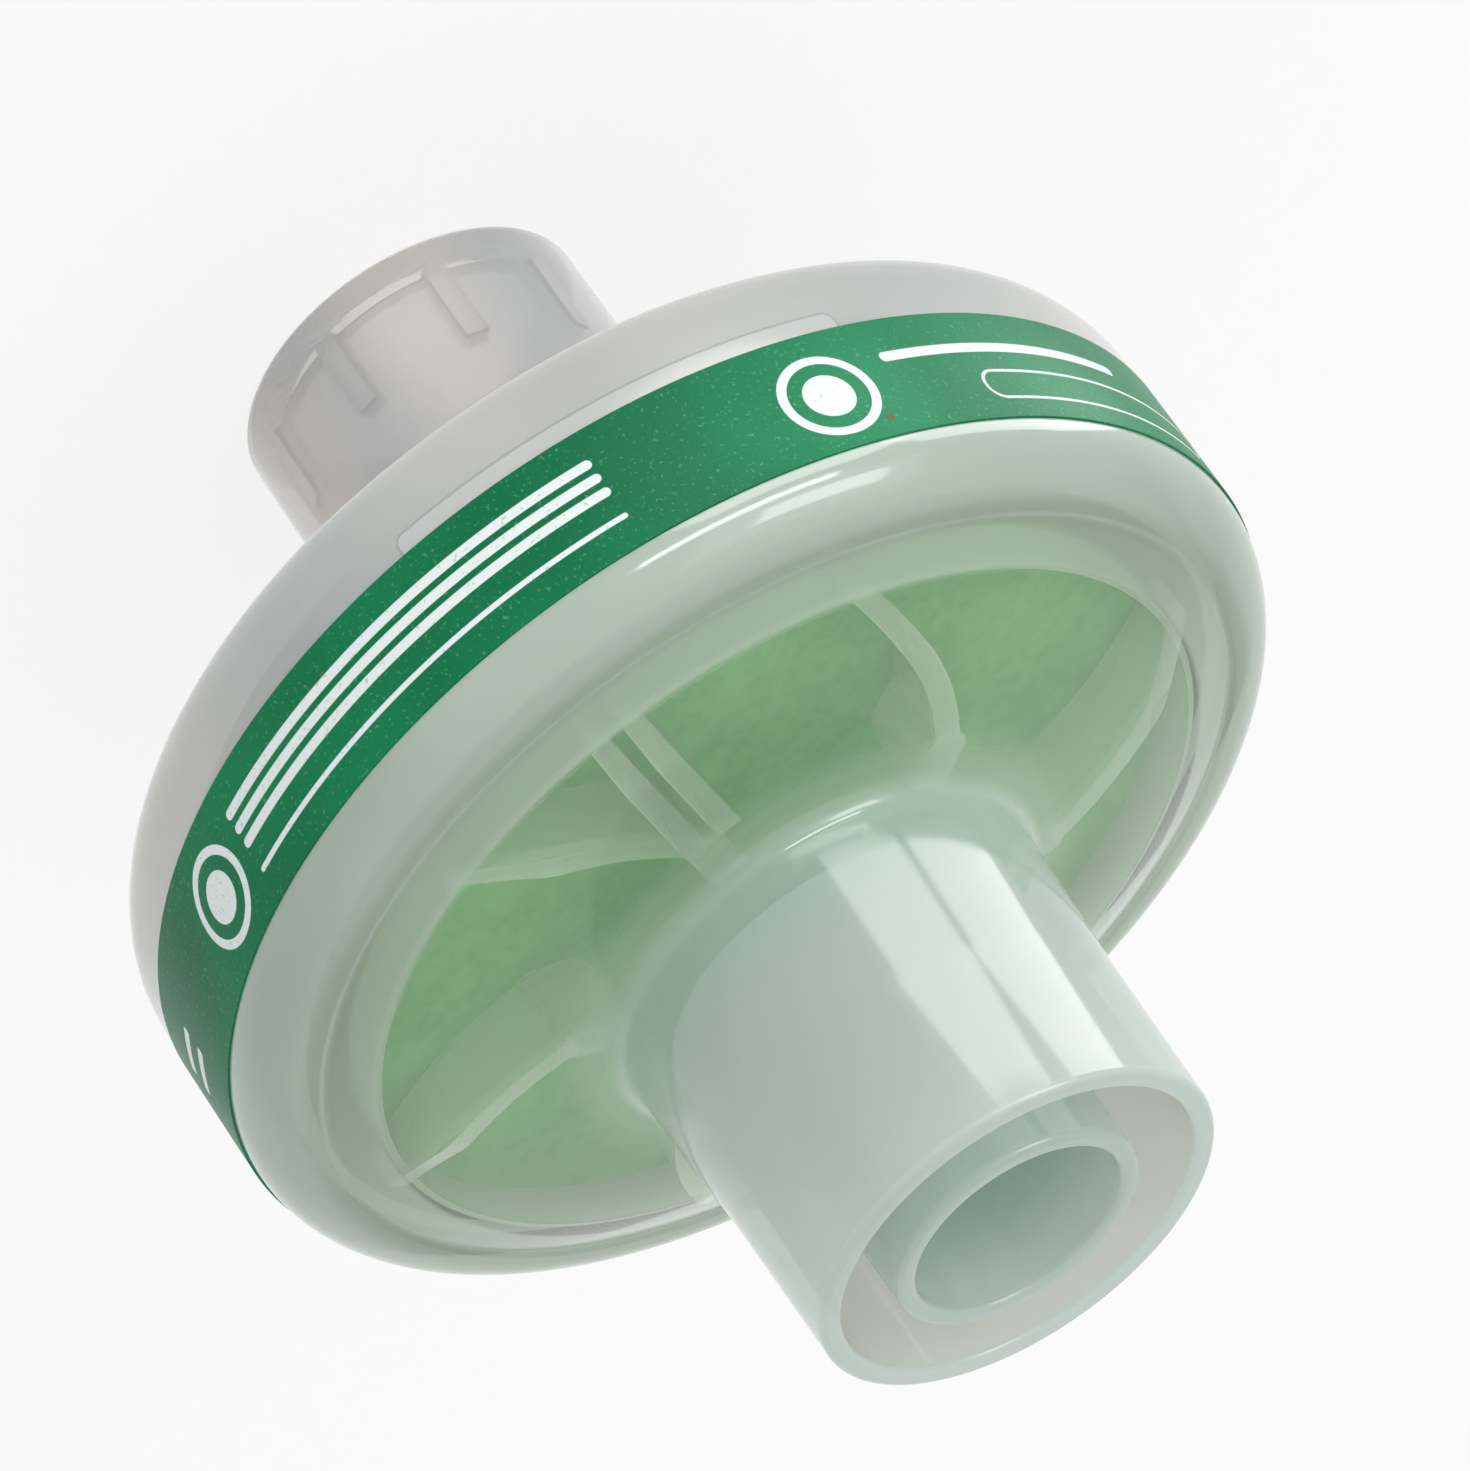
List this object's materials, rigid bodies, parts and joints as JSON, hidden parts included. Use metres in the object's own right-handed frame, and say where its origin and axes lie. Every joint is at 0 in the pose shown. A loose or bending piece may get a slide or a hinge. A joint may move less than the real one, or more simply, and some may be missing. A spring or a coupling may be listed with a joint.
{
  "type": "breathing circuit filter",
  "caption": "Round in-line breathing filter with a moisture pad under a ribbed clear dome, and a conical double port at each end.",
  "frame": {"origin": "centre of the machine port's end face, on which the filter stands", "axes": "+Z along the common axis of both ports, from the machine port to the patient port; the part is round, and -Y faces the picture's viewpoint"},
  "size_m": [0.0664, 0.0664, 0.0694],
  "materials": {
    "clear_plastic": "milky translucent polypropylene, glossy moulded surface",
    "clear_plastic_back": "milky translucent polypropylene, glossy moulded surface",
    "green_foam": "fine open-cell foam, pale green",
    "white_felt": "needle felt, off-white",
    "green_film": "printed self-adhesive film, deep green with a satin sheen"
  },
  "bodies": {
    "root": {"patient_housing": "clear_plastic", "machine_housing": "clear_plastic_back", "moisture_pad": "green_foam", "filter_disc": "white_felt", "label_band": "green_film"}
  },
  "joints": []
}
